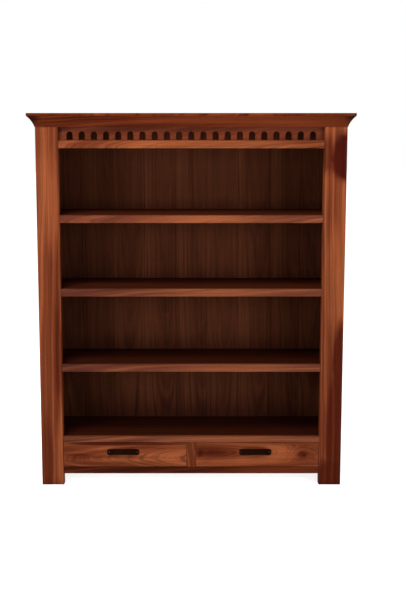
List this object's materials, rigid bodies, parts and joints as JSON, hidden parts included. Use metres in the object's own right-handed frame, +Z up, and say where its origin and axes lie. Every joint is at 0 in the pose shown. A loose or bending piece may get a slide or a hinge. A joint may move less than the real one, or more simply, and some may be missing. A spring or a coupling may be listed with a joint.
{
  "type": "bookcase with bottom drawers",
  "caption": "Free-standing wooden bookcase with open shelves, a pierced arched frieze under a moulded crown, wide front posts as legs, and side-by-side drawers with bow pulls.",
  "frame": {"origin": "on the floor, under the middle of the whole object (width and depth, crown included)", "axes": "+Z up, +X to the right of someone facing the front, -Y out of the front"},
  "size_m": [1.533, 0.436, 1.8],
  "materials": {
    "case_wood": "satin lacquer",
    "crown_wood": "satin lacquer",
    "back_wood": "thin lacquer",
    "inner_wood": "plain sanded",
    "drawer_wood": "plain sanded",
    "antique_iron": "dark oiled",
    "screw_steel": "blackened"
  },
  "bodies": {
    "case": {"back_board_1": "back_wood", "back_board_2": "back_wood", "back_board_3": "back_wood", "back_board_4": "back_wood", "back_board_5": "back_wood", "back_board_6": "back_wood", "back_board_7": "back_wood", "back_board_8": "back_wood", "back_board_9": "back_wood", "back_rail_bottom": "back_wood", "back_rail_top": "back_wood", "back_screws": "screw_steel", "bottom_rail": "case_wood", "crown_board": "crown_wood", "crown_mould_front": "crown_wood", "crown_mould_left": "crown_wood", "crown_mould_right": "crown_wood", "deck_board": "case_wood", "deck_lip": "case_wood", "drawer_divider": "case_wood", "drawer_runner_centre": "inner_wood", "drawer_runner_left": "inner_wood", "drawer_runner_right": "inner_wood", "drawer_stops": "inner_wood", "frieze_board": "case_wood", "frieze_rail": "case_wood", "lower_board": "case_wood", "lower_lip": "case_wood", "middle_board": "case_wood", "middle_lip": "case_wood", "post_front_left": "case_wood", "post_front_right": "case_wood", "post_rear_left": "case_wood", "post_rear_right": "case_wood", "shelf_cleats_left": "inner_wood", "shelf_cleats_right": "inner_wood", "side_panel_left": "case_wood", "side_panel_right": "case_wood", "side_rail_bottom_left": "case_wood", "side_rail_bottom_right": "case_wood", "side_rail_top_left": "case_wood", "side_rail_top_right": "case_wood", "top_rail_front": "crown_wood", "upper_board": "case_wood", "upper_lip": "case_wood"},
    "left_drawer": {"left_drawer_back": "drawer_wood", "left_drawer_bottom": "drawer_wood", "left_drawer_front": "case_wood", "left_drawer_pull": "antique_iron", "left_drawer_pull_screws": "screw_steel", "left_drawer_side_left": "drawer_wood", "left_drawer_side_right": "drawer_wood"},
    "right_drawer": {"right_drawer_back": "drawer_wood", "right_drawer_bottom": "drawer_wood", "right_drawer_front": "case_wood", "right_drawer_pull": "antique_iron", "right_drawer_pull_screws": "screw_steel", "right_drawer_side_left": "drawer_wood", "right_drawer_side_right": "drawer_wood"}
  },
  "joints": [
    {"name": "left_drawer_slide", "type": "slide", "parent": "case", "child": "left_drawer", "axis": [0, -1, 0], "range_m": [0, 0.25]},
    {"name": "right_drawer_slide", "type": "slide", "parent": "case", "child": "right_drawer", "axis": [0, -1, 0], "range_m": [0, 0.25]}
  ]
}
